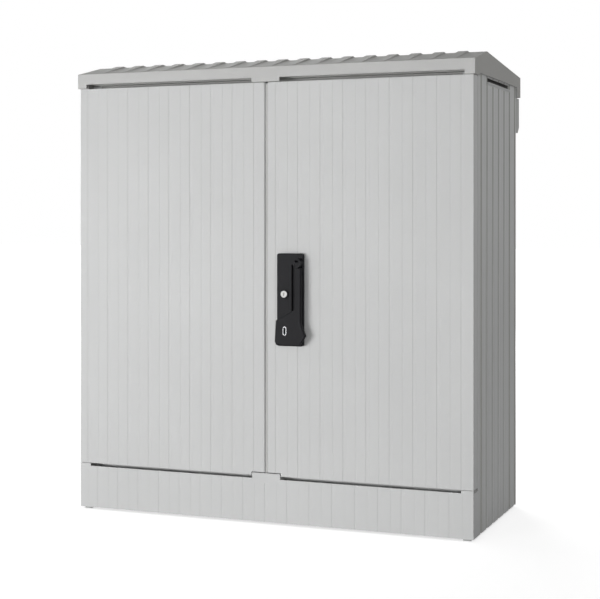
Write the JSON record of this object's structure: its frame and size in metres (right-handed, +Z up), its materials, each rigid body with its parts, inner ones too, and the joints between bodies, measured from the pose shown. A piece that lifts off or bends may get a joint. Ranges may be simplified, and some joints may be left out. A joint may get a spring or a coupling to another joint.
{
  "type": "battery energy storage cabinet",
  "caption": "Outdoor battery cabinet of ribbed moulded polyester with two doors, gable roof, rod lock, battery rack and equipment bay.",
  "frame": {"origin": "on the floor, at the centre of the four floor anchor holes and of the body's plan", "axes": "front faces -Y, +X is to the right seen from the front, +Z up"},
  "size_m": [1.01, 0.4913, 1.1052],
  "materials": {
    "polyester": "satin",
    "black_plastic": "satin",
    "steel": "satin",
    "coated_steel": "satin",
    "light_steel": "satin",
    "rubber": "matte",
    "module_case": "satin",
    "white_plastic": "satin",
    "copper": "satin",
    "aluminium": "satin"
  },
  "bodies": {
    "cabinet": {"foot_panel": "polyester", "side_wall_left": "polyester", "side_wall_right": "polyester", "rear_wall": "polyester", "frame_head": "polyester", "roof": "polyester", "cable_glands": "black_plastic", "fan_frames": "black_plastic", "vent_filters": "black_plastic", "rim_jambs": "steel", "rim_rails": "steel", "centre_post": "steel", "carcass_bolts": "steel", "hinge_pins": "steel", "keepers": "steel", "mounting_rail": "steel", "equipment_plate": "steel", "fan_shelf": "steel", "floor_plate": "steel", "roof_brackets": "steel", "fixing_brackets": "light_steel", "levelling_pads": "light_steel", "floor_frame": "coated_steel", "rack_uprights": "coated_steel", "shelf_1": "coated_steel", "shelf_2": "coated_steel", "shelf_3": "coated_steel", "shelf_4": "coated_steel", "hinge_blocks": "coated_steel", "door_gaskets": "rubber", "battery_module_1": "module_case", "battery_module_2": "module_case", "battery_module_3": "module_case", "battery_module_4": "module_case", "battery_controller": "white_plastic", "breaker_body": "white_plastic", "module_terminals": "copper", "busbar_negative": "copper", "busbar_positive": "copper", "earth_bar": "copper", "converter": "aluminium"},
    "left_door": {"left_door": "polyester", "bolt_guides": "black_plastic"},
    "upper_shoot_bolt": {"upper_shoot_bolt": "steel"},
    "lower_shoot_bolt": {"lower_shoot_bolt": "steel"},
    "right_door": {"right_door": "polyester", "gear_case": "steel", "rod_guides": "black_plastic", "lock_plate": "black_plastic"},
    "lock_spindle": {"lock_spindle": "steel"},
    "lock_lever": {"lock_lever": "black_plastic", "padlock_eye": "steel"},
    "lock_plug": {"lock_plug": "steel"},
    "upper_rod": {"upper_rod": "steel"},
    "lower_rod": {"lower_rod": "steel"},
    "breaker_toggle": {"breaker_toggle": "black_plastic"},
    "fan_rotor_left": {"fan_rotor_left": "black_plastic"},
    "fan_rotor_right": {"fan_rotor_right": "black_plastic"}
  },
  "joints": [
    {"name": "left_door_hinge", "type": "hinge", "parent": "cabinet", "child": "left_door", "pos_m": [-0.49, -0.192, 0.58], "axis": [0, 0, -1], "range_deg": [0, 115]},
    {"name": "right_door_hinge", "type": "hinge", "parent": "cabinet", "child": "right_door", "pos_m": [0.49, -0.192, 0.58], "axis": [0, 0, 1], "range_deg": [0, 115]},
    {"name": "handle_turn", "type": "hinge", "parent": "right_door", "child": "lock_spindle", "pos_m": [0.087, -0.222, 0.616], "axis": [0, -1, 0], "range_deg": [0, 90]},
    {"name": "lever_lift", "type": "hinge", "parent": "lock_spindle", "child": "lock_lever", "pos_m": [0.087, -0.2303, 0.616], "axis": [-1, 0, 0], "range_deg": [0, 30]},
    {"name": "plug_turn", "type": "hinge", "parent": "right_door", "child": "lock_plug", "pos_m": [0.051, -0.22, 0.543], "axis": [0, -1, 0], "range_deg": [0, 90]},
    {"name": "upper_rod_slide", "type": "slide", "parent": "right_door", "child": "upper_rod", "axis": [0, 0, 1], "range_m": [-0.0189, 0]},
    {"name": "lower_rod_slide", "type": "slide", "parent": "right_door", "child": "lower_rod", "axis": [0, 0, 1], "range_m": [0, 0.0189]},
    {"name": "upper_bolt_slide", "type": "slide", "parent": "left_door", "child": "upper_shoot_bolt", "axis": [0, 0, 1], "range_m": [-0.018, 0]},
    {"name": "lower_bolt_slide", "type": "slide", "parent": "left_door", "child": "lower_shoot_bolt", "axis": [0, 0, 1], "range_m": [0, 0.018]},
    {"name": "toggle_tilt", "type": "hinge", "parent": "cabinet", "child": "breaker_toggle", "pos_m": [0.39, 0.087, 0.4], "axis": [1, 0, 0], "range_deg": [0, 48]},
    {"name": "fan_spin_left", "type": "hinge", "parent": "cabinet", "child": "fan_rotor_left", "pos_m": [0.145, 0.09, 0.96], "axis": [0, 0, 1], "continuous": true},
    {"name": "fan_spin_right", "type": "hinge", "parent": "cabinet", "child": "fan_rotor_right", "pos_m": [0.345, 0.09, 0.96], "axis": [0, 0, 1], "continuous": true}
  ],
  "couplings": [
    {"joint": "upper_rod_slide", "follows": "handle_turn", "m_per_rad": -0.012},
    {"joint": "lower_rod_slide", "follows": "handle_turn", "m_per_rad": 0.012}
  ]
}
